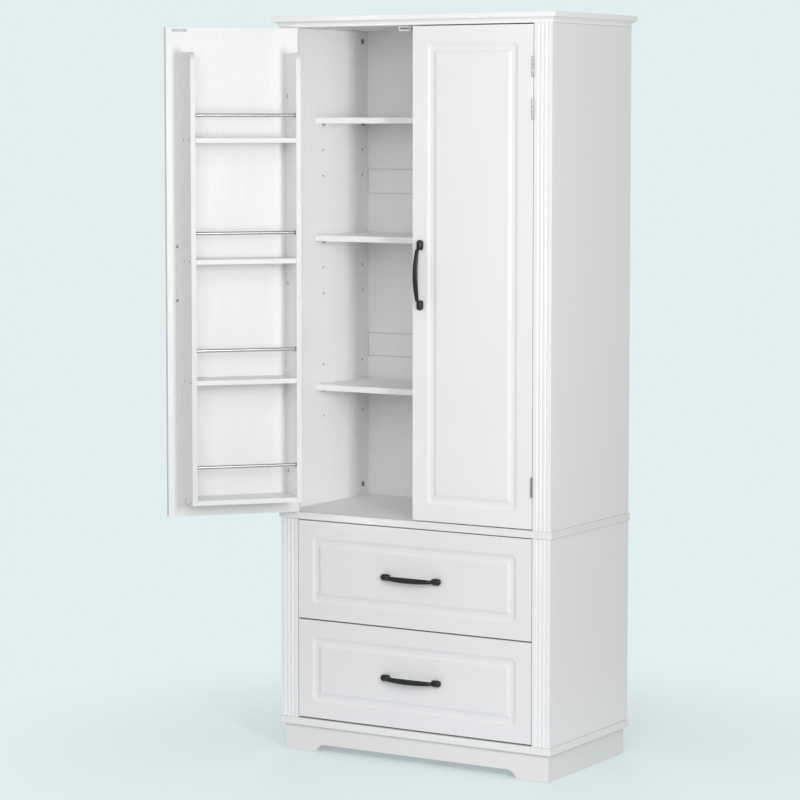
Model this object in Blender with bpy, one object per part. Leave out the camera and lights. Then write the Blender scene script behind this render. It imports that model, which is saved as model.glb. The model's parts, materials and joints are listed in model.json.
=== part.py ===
# Tall pantry cabinet: two cupboard doors over two drawers, on a plinth with bracket feet.
# Metres, +Z up. The origin is on the floor, under the middle of the cabinet. The front faces -Y.
# The right door and the drawers are closed. The left door stands open.

from math import atan2, cos, pi, radians, sin

import bmesh
import bpy

# Cabinet
body_half_width = 0.385
body_depth = 0.407
front = -body_depth / 2
back = body_depth / 2
panel_thickness = 0.015
inner_half_width = body_half_width - panel_thickness
gap = 0.0003

# Heights of the boards that part the cabinet
plinth_top = 0.067
base_top = 0.085
middle_bottom = 0.590
middle_top = 0.608
cornice_bottom = 1.8145
cabinet_top = 1.840
ledge_overhang = 0.004
cornice_overhang = 0.0154
cornice_band = 0.0125
cornice_foot = 0.0015
cornice_ease = 0.0008
cornice_cove_steps = 6

# Fluted pilasters on the front edges
pilaster_thickness = 0.012
pilaster_inner = 0.3356
flute_pitch = 0.011
flute_half_width = 0.003
flute_depth = 0.0022

# Back of the upper cupboard
back_face = front + 0.388
back_panel_thickness = 0.003
back_groove_depth = 0.005
rail_thickness = 0.015
low_rail = (0.973, 1.033)
high_rail = (1.396, 1.459)

# Adjustable shelves
shelf_front = front + 0.137
shelf_thickness = 0.015
shelf_bottoms = (0.901, 1.280, 1.577)
shelf_side_clearance = 0.001
shelf_back_clearance = 0.002

# Doors
door_edge = 0.3336
door_meeting_gap = 0.001
door_thickness = 0.018
door_bottom = 0.6106
door_top = 1.8114
left_door_opening = 131.55

# Routed moulding of the doors and the drawer fronts
routing_outer = 0.040
routing_slope = 0.011
routing_floor = 0.006
routing_depth = 0.004
routing_steps = 4

# Hinges
hinge_axis_x = 0.3346
hinge_axis_y = front - 0.003
hinge_length = 0.0475
hinge_radius = 0.0025
hinge_leaf_thickness = 0.001
hinge_heights = (0.712, 1.611, 1.711)
hinge_leaf_setback = 0.001
hinge_leaf_half_spread = 0.2
hinge_edge_shift = 0.0001
hinge_sides = 12

# Racks inside the doors
rack_bottom = 0.648
rack_top = 1.749
rack_depth = 0.105
rack_board = 0.012
rack_hinge_side = 0.0213
rack_free_side = 0.2965
rack_shelf_pitch = 0.294
rack_corner_radius = 0.020
rack_corner_steps = 5
rack_shelf_count = 4
rack_shelf_lift = 0.0005
rack_shelf_setback = 0.001

# Drawers
drawer_front_height = 0.2473
drawer_bottoms = (0.3399, 0.0890)
drawer_box_half_width = 0.3225
drawer_side = 0.012
drawer_box_back = front + 0.360
drawer_box_lift = 0.016
drawer_box_height = 0.180
drawer_bottom_lift = 0.008
drawer_bottom_thickness = 0.0045

# Drawer runners and the battens that carry them
runner_outer = 0.3357
runner_inner = 0.3260
runner_web = 0.0012
runner_height = 0.035
runner_front = front + 0.020
runner_back = front + 0.370
runner_lift = 0.078
batten_margin = 0.015
batten_housing = 0.006
batten_end_gap = 0.003

# Handles
handle_half_length = 0.0855
handle_foot_length = 0.0245
handle_foot_radius = 0.0085
handle_foot_centre = 0.0072
handle_neck_radius = 0.0030
handle_grip_half_width = 0.0064
handle_grip_half_depth = 0.0042
handle_reach = 0.0290
handle_neck_rise = 0.003
handle_bow_power = 2.6
handle_swell_power = 0.7
handle_end_share = 0.28
handle_collar_share = 0.12
handle_collar_scale = 0.72
handle_tip_radius = 0.0012
handle_grip_stations = (0.0, 0.2, 0.4, 0.58, 0.72, 0.84, 0.93, 0.985)
handle_foot_stations = (0.0, 0.12, 0.45, 0.72, 0.85, 0.95, 1.0)
handle_sides = 12
door_handle_x = 0.026
door_handle_height = 1.211

# Magnetic catches
catch_x = 0.0335
catch_half_width = 0.018
catch_ear = 0.0055
catch_ear_thickness = 0.003
catch_height = 0.0137
catch_front = front + 0.0186
catch_depth = 0.016

# Plinth
plinth_inset = 0.007
plinth_thickness = 0.015
plinth_back_inset = 0.006
foot_inner = 0.290
foot_arc_width = 0.028
foot_arch_height = 0.020
foot_arc_steps = 6
centre_rail_half_width = 0.009
centre_rail_foot = front + 0.140
centre_rail_step = front + 0.120
centre_rail_clearance = 0.002

eased_edge = 0.0007
eased_angle = radians(40)
smooth_angle = radians(35)

FINISHES = {
    "white_board": ((0.86, 0.87, 0.87), 0.42, 0.0),
    "white_back": ((0.80, 0.81, 0.81), 0.55, 0.0),
    "black_metal": ((0.012, 0.012, 0.013), 0.38, 0.6),
    "steel": ((0.55, 0.55, 0.54), 0.32, 1.0),
    "catch_plastic": ((0.72, 0.72, 0.73), 0.45, 0.0),
}


def clear_scene():
    for old in list(bpy.data.objects):
        bpy.data.objects.remove(old, do_unlink=True)


def finish_material(part_name, finish):
    colour, roughness, metallic = FINISHES[finish]
    material = bpy.data.materials.new(part_name + "_" + finish)
    material.use_nodes = True
    shader = material.node_tree.nodes["Principled BSDF"]
    shader.inputs["Base Color"].default_value = (*colour, 1.0)
    shader.inputs["Roughness"].default_value = roughness
    shader.inputs["Metallic"].default_value = metallic
    return material


def place(name, shape, finish, parent=None, smooth=False):
    """Makes an object from a bmesh, with its origin on its parent's origin."""
    bmesh.ops.recalc_face_normals(shape, faces=shape.faces)
    mesh = bpy.data.meshes.new(name)
    shape.to_mesh(mesh)
    shape.free()
    if smooth:
        mesh.shade_smooth()
        mesh.set_sharp_from_angle(angle=smooth_angle)
    mesh.materials.append(finish_material(name, finish))
    part = bpy.data.objects.new(name, mesh)
    bpy.context.scene.collection.objects.link(part)
    part.parent = parent
    return part


def axis_empty(name, position, turn=0.0):
    """An empty on a moving body's axis, turned about the vertical."""
    pivot = bpy.data.objects.new(name, None)
    bpy.context.scene.collection.objects.link(pivot)
    pivot.location = position
    pivot.rotation_euler = (0.0, 0.0, turn)
    return pivot


def loft(rings):
    """A closed body through rings of equally many points, capped at both ends."""
    shape = bmesh.new()
    made = [[shape.verts.new(point) for point in ring] for ring in rings]
    for lower, upper in zip(made, made[1:]):
        for i in range(len(lower)):
            j = (i + 1) % len(lower)
            shape.faces.new((lower[i], lower[j], upper[j], upper[i]))
    shape.faces.new(made[0])
    shape.faces.new(made[-1])
    return shape


def ease_edges(part):
    bevel = part.modifiers.new("eased_edges", "BEVEL")
    bevel.width = eased_edge
    bevel.segments = 1
    bevel.limit_method = "ANGLE"
    bevel.angle_limit = eased_angle


def board(name, low, high, finish="white_board", parent=None):
    """A flat board between two opposite corners, with its sharp edges eased."""
    rings = []
    for z in (low[2], high[2]):
        rings.append([(low[0], low[1], z), (high[0], low[1], z), (high[0], high[1], z), (low[0], high[1], z)])
    part = place(name, loft(rings), finish, parent)
    ease_edges(part)
    return part


def extruded(name, outline, start, end, along, finish="white_board", parent=None):
    """An outline of (a, b) points carried along X, Y or Z."""
    to_point = {
        "x": lambda a, b, c: (c, a, b),
        "y": lambda a, b, c: (a, c, b),
        "z": lambda a, b, c: (a, b, c),
    }[along]
    rings = [[to_point(a, b, c) for a, b in outline] for c in (start, end)]
    return place(name, loft(rings), finish, parent)


def body_ring(overhang, z):
    """The cabinet's outline in plan, pushed out at the front and the sides only."""
    x = body_half_width + overhang
    y = front - overhang
    return [(-x, y, z), (x, y, z), (x, back, z), (-x, back, z)]


def make_cornice():
    """Top board with a square band over a hollow moulding."""
    rings = [body_ring(0.0, cornice_bottom)]
    cove_height = cabinet_top - cornice_bottom - cornice_band
    for step in range(cornice_cove_steps + 1):
        angle = pi / 2 * step / cornice_cove_steps
        overhang = cornice_foot + (cornice_overhang - cornice_foot) * (1 - cos(angle))
        rise = cornice_ease + (cove_height - cornice_ease) * sin(angle)
        rings.append(body_ring(overhang, cornice_bottom + rise))
    rings.append(body_ring(cornice_overhang, cabinet_top - cornice_ease))
    rings.append(body_ring(cornice_overhang - cornice_ease, cabinet_top))
    place("top_board", loft(rings), "white_board")


def make_ledges():
    """The boards between the cupboard and the drawers, and under the drawers."""
    x = body_half_width + ledge_overhang
    y = front - ledge_overhang
    board("middle_board", (-x, y, middle_bottom), (x, back, middle_top))
    board("base_board", (-x, y, plinth_top), (x, back, base_top))


def side_outline(side):
    """A side panel in plan, with the groove that takes the back panels."""
    outer = side * body_half_width
    inner = side * inner_half_width
    groove = side * (inner_half_width + back_groove_depth + gap)
    start = front + pilaster_thickness + gap
    groove_front = back_face - gap
    groove_back = back_face + back_panel_thickness + gap
    return [
        (outer, start),
        (outer, back),
        (inner, back),
        (inner, groove_back),
        (groove, groove_back),
        (groove, groove_front),
        (inner, groove_front),
        (inner, start),
    ]


def make_upper_sides():
    for side, word in ((-1, "left"), (1, "right")):
        outline = side_outline(side)
        extruded("upper_side_" + word, outline, middle_top + gap, cornice_bottom - gap, "z")


def batten_outline(side):
    """A batten in plan, let into its side panel."""
    reach = side * (runner_outer + gap)
    root = side * (inner_half_width + batten_housing)
    start = front + pilaster_thickness + gap + batten_end_gap
    end = back_face - batten_end_gap
    return [(root, start), (root, end), (reach, end), (reach, start)]


def make_lower_sides():
    """Each side panel joined with the two battens that carry the runners."""
    for side, word in ((-1, "left"), (1, "right")):
        name = "lower_side_" + word
        panel = extruded(name, side_outline(side), base_top + gap, middle_bottom - gap, "z")
        for index, bottom in enumerate(drawer_bottoms):
            low = bottom + runner_lift - batten_margin
            high = bottom + runner_lift + runner_height + batten_margin
            cutter_name = name + "_batten_" + str(index + 1)
            batten = extruded(cutter_name, batten_outline(side), low, high, "z")
            batten.hide_render = True
            batten.display_type = "WIRE"
            joined = panel.modifiers.new("batten", "BOOLEAN")
            joined.operation = "UNION"
            joined.solver = "EXACT"
            joined.object = batten


def pilaster_outline(side):
    """A pilaster in plan: three V-grooves down its front."""
    outer = side * body_half_width
    inner = side * pilaster_inner
    middle = (outer + inner) / 2
    outline = [(inner, front + pilaster_thickness), (inner, front)]
    for index in (-1, 0, 1):
        centre = middle + side * index * flute_pitch
        outline.append((centre - side * flute_half_width, front))
        outline.append((centre, front + flute_depth))
        outline.append((centre + side * flute_half_width, front))
    outline.append((outer, front))
    outline.append((outer, front + pilaster_thickness))
    return outline


def make_pilasters():
    spans = {
        "upper": (middle_top + gap, cornice_bottom - gap),
        "lower": (base_top + gap, middle_bottom - gap),
    }
    for level, (low, high) in spans.items():
        for side, word in ((-1, "left"), (1, "right")):
            name = level + "_pilaster_" + word
            extruded(name, pilaster_outline(side), low, high, "z")


def make_backs():
    """Thin panels in the side grooves, with two rails between the upper ones."""
    half = inner_half_width + back_groove_depth
    panels = {
        "lower_back_panel": (base_top, middle_bottom),
        "upper_back_panel_low": (middle_top, low_rail[0]),
        "upper_back_panel_middle": (low_rail[1], high_rail[0]),
        "upper_back_panel_high": (high_rail[1], cornice_bottom),
    }
    for name, (low, high) in panels.items():
        corner = (-half, back_face, low + gap)
        board(name, corner, (half, back_face + back_panel_thickness, high - gap), "white_back")
    rail_half = inner_half_width - gap
    for name, (low, high) in (("back_rail_low", low_rail), ("back_rail_high", high_rail)):
        board(name, (-rail_half, back_face, low), (rail_half, back_face + rail_thickness, high))


def make_shelves():
    half = inner_half_width - shelf_side_clearance
    for index, low in enumerate(shelf_bottoms):
        corner = (-half, shelf_front, low)
        far = (half, back_face - shelf_back_clearance, low + shelf_thickness)
        board("shelf_" + str(index + 1), corner, far)


def routed_ring(half_width, low, high, inset, y):
    """A rectangle in the plane of a door or a drawer front, inset from its edges."""
    x = half_width - inset
    return [(-x, y, low + inset), (x, y, low + inset), (x, y, high - inset), (-x, y, high - inset)]


def routed_panel(width, low, high):
    """A door or a drawer front centred on X, its outer face on y=0, with the routed moulding."""
    half = width / 2
    rings = [routed_ring(half, low, high, 0.0, door_thickness)]
    rings.append(routed_ring(half, low, high, 0.0, eased_edge))
    rings.append(routed_ring(half, low, high, eased_edge, 0.0))
    for start, fall in ((routing_outer, True), (routing_outer + routing_slope + routing_floor, False)):
        for step in range(routing_steps + 1):
            part = step / routing_steps
            depth = routing_depth * (1 - cos(pi * part)) / 2
            if not fall:
                depth = routing_depth - depth
            rings.append(routed_ring(half, low, high, start + routing_slope * part, depth))
    return loft(rings)


def handle_section(distance):
    """The handle's half width, half depth and height off the face, at a distance from its middle."""
    foot_start = handle_half_length - handle_foot_length
    if distance >= foot_start:
        along = (distance - foot_start) / handle_foot_length
        end_round = min(1.0, (1.0 - along) / handle_end_share)
        collar = min(1.0, along / handle_collar_share)
        swell = (1 - (1 - end_round) ** 2) ** 0.5
        swell *= handle_collar_scale + (1 - handle_collar_scale) * collar
        radius = max(handle_foot_radius * swell, handle_tip_radius)
        return radius, radius, handle_foot_centre
    along = distance / foot_start
    swell = cos(pi / 2 * along) ** handle_swell_power if along < 1 else 0.0
    half_width = handle_neck_radius + (handle_grip_half_width - handle_neck_radius) * swell
    half_depth = handle_neck_radius + (handle_grip_half_depth - handle_neck_radius) * swell
    neck_height = handle_foot_centre + handle_neck_rise
    height = neck_height + (handle_reach - neck_height) * (1 - along**handle_bow_power)
    return half_width, half_depth, height


def handle_shape(upright):
    """A bow handle centred on the origin, its feet just off the face y=0."""
    foot_start = handle_half_length - handle_foot_length
    half_stations = [foot_start * part for part in handle_grip_stations]
    half_stations += [foot_start + handle_foot_length * part for part in handle_foot_stations]
    stations = [-s for s in reversed(half_stations)] + half_stations[1:]
    rings = []
    for station in stations:
        half_width, half_depth, height = handle_section(abs(station))
        ring = []
        for index in range(handle_sides):
            angle = 2 * pi * index / handle_sides
            across = half_width * cos(angle)
            y = min(-gap, half_depth * sin(angle) - height)
            ring.append((across, y, station) if upright else (station, y, across))
        rings.append(ring)
    return loft(rings)


def make_handle(name, position, upright, parent):
    handle = place(name, handle_shape(upright), "black_metal", parent, smooth=True)
    handle.location = position
    return handle


def make_rack(word, along, pivot, inner_face):
    """The shelves on a door's inner face, in the door's own closed frame."""
    low_y = inner_face + gap
    high_y = low_y + rack_depth
    for name, near in (("hinge_side", rack_hinge_side), ("free_side", rack_free_side - rack_board)):
        outline = [(low_y, rack_bottom), (high_y, rack_bottom), (high_y, rack_top - rack_corner_radius)]
        for step in range(1, rack_corner_steps + 1):
            angle = pi / 2 * step / rack_corner_steps
            y = high_y - rack_corner_radius * (1 - cos(angle))
            outline.append((y, rack_top - rack_corner_radius * (1 - sin(angle))))
        outline.append((low_y, rack_top))
        full_name = word + "_rack_" + name
        extruded(full_name, outline, along * near, along * (near + rack_board), "x", parent=pivot)
    near = along * (rack_hinge_side + rack_board + gap)
    far = along * (rack_free_side - rack_board - gap)
    for index in range(rack_shelf_count):
        low = rack_bottom + rack_shelf_lift + rack_shelf_pitch * index
        corner = (min(near, far), low_y, low)
        end = (max(near, far), high_y - rack_shelf_setback, low + rack_board)
        board(word + "_rack_shelf_" + str(index + 1), corner, end, parent=pivot)


def make_door(word, side, opening):
    """A door with its handle and rack, on an empty that stands on its hinge axis."""
    pivot = axis_empty(word + "_door_axis", (side * hinge_axis_x, hinge_axis_y, 0.0), opening)
    width = door_edge - door_meeting_gap
    along = -side
    centre = along * (hinge_axis_x - door_edge + width / 2)
    face = front - hinge_axis_y
    panel = place(word + "_door", routed_panel(width, door_bottom, door_top), "white_board", pivot)
    panel.location = (centre, face, 0.0)
    handle_x = along * (hinge_axis_x - door_handle_x)
    make_handle(word + "_door_handle", (handle_x, face, door_handle_height), True, pivot)
    make_rack(word, along, pivot, face + door_thickness)


def make_hinges():
    """Frame leaves with their knuckles, on the pilasters' inner edges."""
    for side, word in ((-1, "left"), (1, "right")):
        for index, height in enumerate(hinge_heights):
            rings = []
            leaf_end = front + pilaster_thickness - hinge_leaf_setback
            half = hinge_leaf_thickness / 2
            start_angle = pi / 2 - hinge_leaf_half_spread
            sweep = 2 * pi - 2 * hinge_leaf_half_spread
            for z in (height - hinge_length / 2, height + hinge_length / 2):
                ring = [(side * half, leaf_end - hinge_axis_y, z)]
                for step in range(hinge_sides):
                    angle = start_angle - sweep * step / (hinge_sides - 1)
                    x = side * hinge_radius * cos(angle)
                    ring.append((x, hinge_radius * sin(angle), z))
                ring.append((-side * half, leaf_end - hinge_axis_y, z))
                rings.append(ring)
            name = word + "_hinge_" + str(index + 1)
            hinge = place(name, loft(rings), "steel", smooth=True)
            hinge.location = (side * (hinge_axis_x + hinge_edge_shift), hinge_axis_y, 0.0)


def make_drawer(number, low):
    """A drawer on an empty at its front's middle."""
    name = "drawer_" + str(number)
    pivot = axis_empty(name + "_slide", (0.0, front, low))
    place(name + "_front", routed_panel(2 * door_edge, 0.0, drawer_front_height), "white_board", pivot)
    outer = drawer_box_half_width
    inner = outer - drawer_side
    start = door_thickness + gap
    end = drawer_box_back - front
    outline = [(-outer, start), (-inner, start), (-inner, end - drawer_side), (inner, end - drawer_side)]
    outline += [(inner, start), (outer, start), (outer, end), (-outer, end)]
    top = drawer_box_lift + drawer_box_height
    extruded(name + "_box", outline, drawer_box_lift, top, "z", parent=pivot)
    floor_low = drawer_box_lift + drawer_bottom_lift
    corner = (-inner + gap, start + gap, floor_low)
    far = (inner - gap, end - drawer_side - gap, floor_low + drawer_bottom_thickness)
    board(name + "_bottom", corner, far, "white_back", pivot)
    make_handle(name + "_handle", (0.0, 0.0, drawer_front_height / 2), False, pivot)


def make_runners():
    """The cabinet halves of the drawer slides: channels that open towards the drawer."""
    for number, bottom in enumerate(drawer_bottoms, start=1):
        low = bottom + runner_lift
        high = low + runner_height
        for side, word in ((-1, "left"), (1, "right")):
            web = side * (runner_outer - runner_web)
            outer = side * runner_outer
            inner = side * runner_inner
            outline = [(outer, low), (inner, low), (inner, low + runner_web), (web, low + runner_web)]
            outline += [(web, high - runner_web), (inner, high - runner_web), (inner, high), (outer, high)]
            name = "drawer_" + str(number) + "_runner_" + word
            extruded(name, outline, runner_front, runner_back, "y", "steel")


def make_catches():
    """Magnetic catches under the top board, each with two screw ears."""
    top = cornice_bottom - gap
    for side, word in ((-1, "left"), (1, "right")):
        middle = side * catch_x
        ear = catch_half_width + catch_ear
        outline = [(middle - ear, top), (middle - ear, top - catch_ear_thickness)]
        outline.append((middle - catch_half_width, top - catch_ear_thickness))
        outline.append((middle - catch_half_width, top - catch_height))
        outline.append((middle + catch_half_width, top - catch_height))
        outline.append((middle + catch_half_width, top - catch_ear_thickness))
        outline.append((middle + ear, top - catch_ear_thickness))
        outline.append((middle + ear, top))
        name = "magnetic_catch_" + word
        extruded(name, outline, catch_front, catch_front + catch_depth, "y", "catch_plastic")


def make_plinth():
    """Front board with bracket feet, two side boards and a centre rail."""
    top = plinth_top - gap
    outer = body_half_width - plinth_inset
    y = front + plinth_inset
    full_angle = 2 * atan2(foot_arch_height, foot_arc_width)
    arc_radius = foot_arc_width / sin(full_angle)
    arch = []
    for step in range(foot_arc_steps + 1):
        angle = full_angle * (1 - step / foot_arc_steps)
        x = foot_inner - foot_arc_width + arc_radius * sin(angle)
        arch.append((x, foot_arch_height - arc_radius * (1 - cos(angle))))
    outline = [(outer, top), (outer, 0.0)] + arch
    outline += [(-x, z) for x, z in reversed(arch)] + [(-outer, 0.0), (-outer, top)]
    extruded("plinth_front", outline, y, y + plinth_thickness, "y")
    behind = y + plinth_thickness + gap
    end = back - plinth_back_inset
    for side, word in ((-1, "left"), (1, "right")):
        edges = sorted((side * outer, side * (outer - plinth_thickness)))
        board("plinth_" + word, (edges[0], behind, 0.0), (edges[1], end, top))
    raised = foot_arch_height + centre_rail_clearance
    profile = [(behind, raised), (centre_rail_step, raised)]
    profile += [(centre_rail_foot, 0.0), (end, 0.0), (end, top), (behind, top)]
    half = centre_rail_half_width
    extruded("plinth_centre_rail", profile, -half, half, "x")


def main():
    clear_scene()
    make_cornice()
    make_ledges()
    make_upper_sides()
    make_lower_sides()
    make_pilasters()
    make_backs()
    make_shelves()
    make_hinges()
    make_door("left", -1, -radians(left_door_opening))
    make_door("right", 1, 0.0)
    make_runners()
    for number, low in enumerate(drawer_bottoms, start=1):
        make_drawer(number, low)
    make_catches()
    make_plinth()


main()
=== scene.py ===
import json
from math import cos, pi, radians, sin, sqrt

import bmesh
import bpy
from mathutils import Matrix, Vector

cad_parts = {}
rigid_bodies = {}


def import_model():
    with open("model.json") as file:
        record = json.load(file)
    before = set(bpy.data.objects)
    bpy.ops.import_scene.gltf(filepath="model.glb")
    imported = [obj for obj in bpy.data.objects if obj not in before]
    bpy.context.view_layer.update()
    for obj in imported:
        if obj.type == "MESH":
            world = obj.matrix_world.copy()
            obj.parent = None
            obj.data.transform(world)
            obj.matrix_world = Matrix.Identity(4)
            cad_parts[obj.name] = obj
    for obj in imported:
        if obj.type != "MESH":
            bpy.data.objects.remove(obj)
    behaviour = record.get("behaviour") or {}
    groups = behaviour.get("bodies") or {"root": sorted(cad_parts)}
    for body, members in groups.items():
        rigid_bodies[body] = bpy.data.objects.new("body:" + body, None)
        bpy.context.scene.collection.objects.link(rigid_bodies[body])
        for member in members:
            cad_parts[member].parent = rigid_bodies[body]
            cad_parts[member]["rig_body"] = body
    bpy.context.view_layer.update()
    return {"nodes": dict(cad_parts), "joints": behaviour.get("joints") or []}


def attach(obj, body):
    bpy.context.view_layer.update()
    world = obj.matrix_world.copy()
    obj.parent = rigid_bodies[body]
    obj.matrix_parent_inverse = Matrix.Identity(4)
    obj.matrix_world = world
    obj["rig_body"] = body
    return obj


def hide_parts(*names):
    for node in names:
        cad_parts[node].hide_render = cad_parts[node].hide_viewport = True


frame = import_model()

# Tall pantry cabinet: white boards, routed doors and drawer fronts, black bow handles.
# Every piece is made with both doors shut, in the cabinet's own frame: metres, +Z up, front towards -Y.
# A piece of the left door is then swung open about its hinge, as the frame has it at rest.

joints = {joint["name"]: joint for joint in frame["joints"]}
leftHinge = joints["left_door_hinge"]
hingeLine = Vector(leftHinge["pos_m"])
openTurn = Matrix.Rotation(radians(leftHinge["range_deg"][0]), 4, "Z")
opening = Matrix.Translation(hingeLine) @ openTurn @ Matrix.Translation(-hingeLine)
sideSign = {"left": -1, "right": 1}


# Tools that every piece uses

def nodeBox(node):
    found = frame["nodes"][node]
    shut = opening.inverted() if found["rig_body"] == "left_door" else Matrix()
    points = [shut @ vertex.co for vertex in found.data.vertices]
    low = Vector([min(point[axis] for point in points) for axis in range(3)])
    high = Vector([max(point[axis] for point in points) for axis in range(3)])
    return low, high


def addPiece(name, shape, finishes, body, nodes=(), sharpAngle=38):
    bmesh.ops.recalc_face_normals(shape, faces=shape.faces)
    mesh = bpy.data.meshes.new(name)
    shape.to_mesh(mesh)
    shape.free()
    for finish in finishes:
        mesh.materials.append(finish)
    mesh.shade_smooth()
    mesh.set_sharp_from_angle(angle=radians(sharpAngle))
    piece = bpy.data.objects.new(name, mesh)
    bpy.context.scene.collection.objects.link(piece)
    if body == "left_door":
        piece.matrix_world = opening
    flatFaces = piece.modifiers.new("flatFaces", "WEIGHTED_NORMAL")
    flatFaces.keep_sharp = True
    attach(piece, body)
    if nodes:
        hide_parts(*nodes)
    return piece


def addBoard(shape, low, high, ease, segments=3):
    # a flat board between two corners, its edges rounded over
    made = bmesh.ops.create_cube(shape, size=1)["verts"]
    for vertex in made:
        for axis in range(3):
            vertex.co[axis] = low[axis] + (vertex.co[axis] + 0.5) * (high[axis] - low[axis])
    edges = list({edge for vertex in made for edge in vertex.link_edges})
    bmesh.ops.bevel(shape, geom=edges, offset=ease, segments=segments, profile=0.5, affect="EDGES")


def addRings(shape, rings, capStart=True, capEnd=True):
    made = [[shape.verts.new(point) for point in ring] for ring in rings]
    count = len(made[0])
    faces = []
    for near, far in zip(made, made[1:]):
        for i in range(count):
            j = (i + 1) % count
            faces.append(shape.faces.new((near[i], near[j], far[j], far[i])))
    if capStart:
        faces.append(shape.faces.new(made[0]))
    if capEnd:
        faces.append(shape.faces.new(made[-1]))
    return faces


def addSlab(shape, outline, along, start, end, ease):
    # an outline carried along an axis, with its long edges rounded over
    toPoint = {
        "x": lambda a, b, c: (c, a, b),
        "y": lambda a, b, c: (a, c, b),
        "z": lambda a, b, c: (a, b, c),
    }[along]
    faces = addRings(shape, [[toPoint(a, b, c) for a, b in outline] for c in (start, end)])
    if not ease:
        return
    bmesh.ops.recalc_face_normals(shape, faces=faces)
    edges = {edge for face in faces for edge in face.edges}
    crisp = [edge for edge in edges if edge.calc_face_angle(0) > radians(40)]
    bmesh.ops.bevel(shape, geom=crisp, offset=ease, segments=3, profile=0.5, affect="EDGES")


def addTurned(shape, profile, foot, direction, sides=24):
    # a turned shape: profile is (distance along the axis, radius) from foot along direction
    axis = Vector(direction).normalized()
    across = axis.orthogonal().normalized()
    third = axis.cross(across)
    rings = []
    for distance, radius in profile:
        ring = []
        for step in range(sides):
            angle = 2 * pi * step / sides
            outward = across * cos(angle) + third * sin(angle)
            ring.append(Vector(foot) + axis * distance + outward * radius)
        rings.append(ring)
    addRings(shape, rings)


screwValues = {
    "sides": 32,
    "rings": (0.12, 0.3, 0.48, 0.58, 0.66, 0.8, 0.93, 1.0),
    "crossReach": 0.62,  # of the head's radius
    "crossWidth": 0.17,
    "crossDepth": 0.45,
    "dome": 0.22,
}


def addScrew(shape, centre, direction, radius, rise, sink=0.0006):
    # a cross-head screw: a low dome with the driver's cross sunk into it
    values = screwValues
    axis = Vector(direction).normalized()
    across = axis.orthogonal().normalized()
    third = axis.cross(across)
    middle = Vector(centre)
    rings = []
    for share in values["rings"]:
        ring = []
        for step in range(values["sides"]):
            angle = 2 * pi * step / values["sides"]
            a = share * cos(angle)
            b = share * sin(angle)
            height = rise * (1 - values["dome"] * 2 * share * share)
            inCross = min(abs(a), abs(b)) < values["crossWidth"] and share < values["crossReach"]
            if inCross:
                height = rise - radius * values["crossDepth"] * (1 - 0.5 * share)
            if share == 1.0:
                height = 0.0
            ring.append(middle + (across * a + third * b) * radius + axis * height)
        rings.append(ring)
    rings.append([point - axis * sink for point in rings[-1]])
    addRings(shape, rings)


# Materials

def hexColour(code):
    # an sRGB hex value as linear red, green, blue and alpha
    parts = [int(code[index:index + 2], 16) / 255 for index in (1, 3, 5)]
    return tuple(c / 12.92 if c <= 0.04045 else ((c + 0.055) / 1.055) ** 2.4 for c in parts) + (1.0,)


def addNode(tree, kind, settings=None, values=None, links=None):
    node = tree.nodes.new(kind)
    for key, value in (settings or {}).items():
        setattr(node, key, value)
    for key, value in (values or {}).items():
        node.inputs[key].default_value = value
    for key, source in (links or {}).items():
        tree.links.new(source, node.inputs[key])
    return node


def startFinish(name, colour, roughness, metallic=0.0, ior=None, coat=0.0, coatRoughness=0.1):
    finish = bpy.data.materials.new(name)
    finish.use_nodes = True
    tree = finish.node_tree
    shader = tree.nodes["Principled BSDF"]
    shader.inputs["Base Color"].default_value = hexColour(colour)
    shader.inputs["Roughness"].default_value = roughness
    shader.inputs["Metallic"].default_value = metallic
    if ior:
        shader.inputs["IOR"].default_value = ior
    if coat:
        shader.inputs["Coat Weight"].default_value = coat
        shader.inputs["Coat Roughness"].default_value = coatRoughness
    finish.diffuse_color = hexColour(colour)
    return finish, tree, shader


def perMetre(acrossMm):
    # the noise scale that gives one blob for each length in millimetres
    return 1000 / acrossMm


def whiteMelamine(name, grainAxis, light, shade):
    # Melamine paper pressed on particleboard with a wood-pore plate: long shallow pores that
    # catch the light, a faint streakiness in the white, a satin sheen that breaks up along them.
    values = {
        "poreWidthMm": 2.2,  # real pores are 0.3 mm wide, drawn wider so that they show
        "poreLengthMm": 55,
        "poreDepthMm": 0.10,
        "roughness": (0.36, 0.47),
    }
    finish, tree, shader = startFinish(name, light, 0.42, ior=1.52)
    stretch = [perMetre(values["poreWidthMm"])] * 3
    stretch["xyz".index(grainAxis)] = perMetre(values["poreLengthMm"])
    place = addNode(tree, "ShaderNodeTexCoord")
    scaled = addNode(
        tree, "ShaderNodeMapping", values={"Scale": stretch}, links={"Vector": place.outputs["Object"]}
    )
    pores = addNode(
        tree, "ShaderNodeTexNoise",
        values={"Scale": 1.0, "Detail": 4.0, "Roughness": 0.62},
        links={"Vector": scaled.outputs["Vector"]},
    )
    colours = addNode(tree, "ShaderNodeValToRGB", links={"Fac": pores.outputs["Fac"]})
    colours.color_ramp.elements[0].position = 0.36
    colours.color_ramp.elements[0].color = hexColour(shade)
    colours.color_ramp.elements[1].position = 0.56
    colours.color_ramp.elements[1].color = hexColour(light)
    low, high = values["roughness"]
    gloss = addNode(
        tree, "ShaderNodeMapRange",
        values={"From Min": 0.3, "From Max": 0.7, "To Min": high, "To Max": low},
        links={"Value": pores.outputs["Fac"]},
    )
    relief = addNode(
        tree, "ShaderNodeBump",
        values={"Strength": 0.25, "Distance": values["poreDepthMm"] / 1000},
        links={"Height": pores.outputs["Fac"]},
    )
    tree.links.new(colours.outputs["Color"], shader.inputs["Base Color"])
    tree.links.new(gloss.outputs["Result"], shader.inputs["Roughness"])
    tree.links.new(relief.outputs["Normal"], shader.inputs["Normal"])
    return finish


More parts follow.
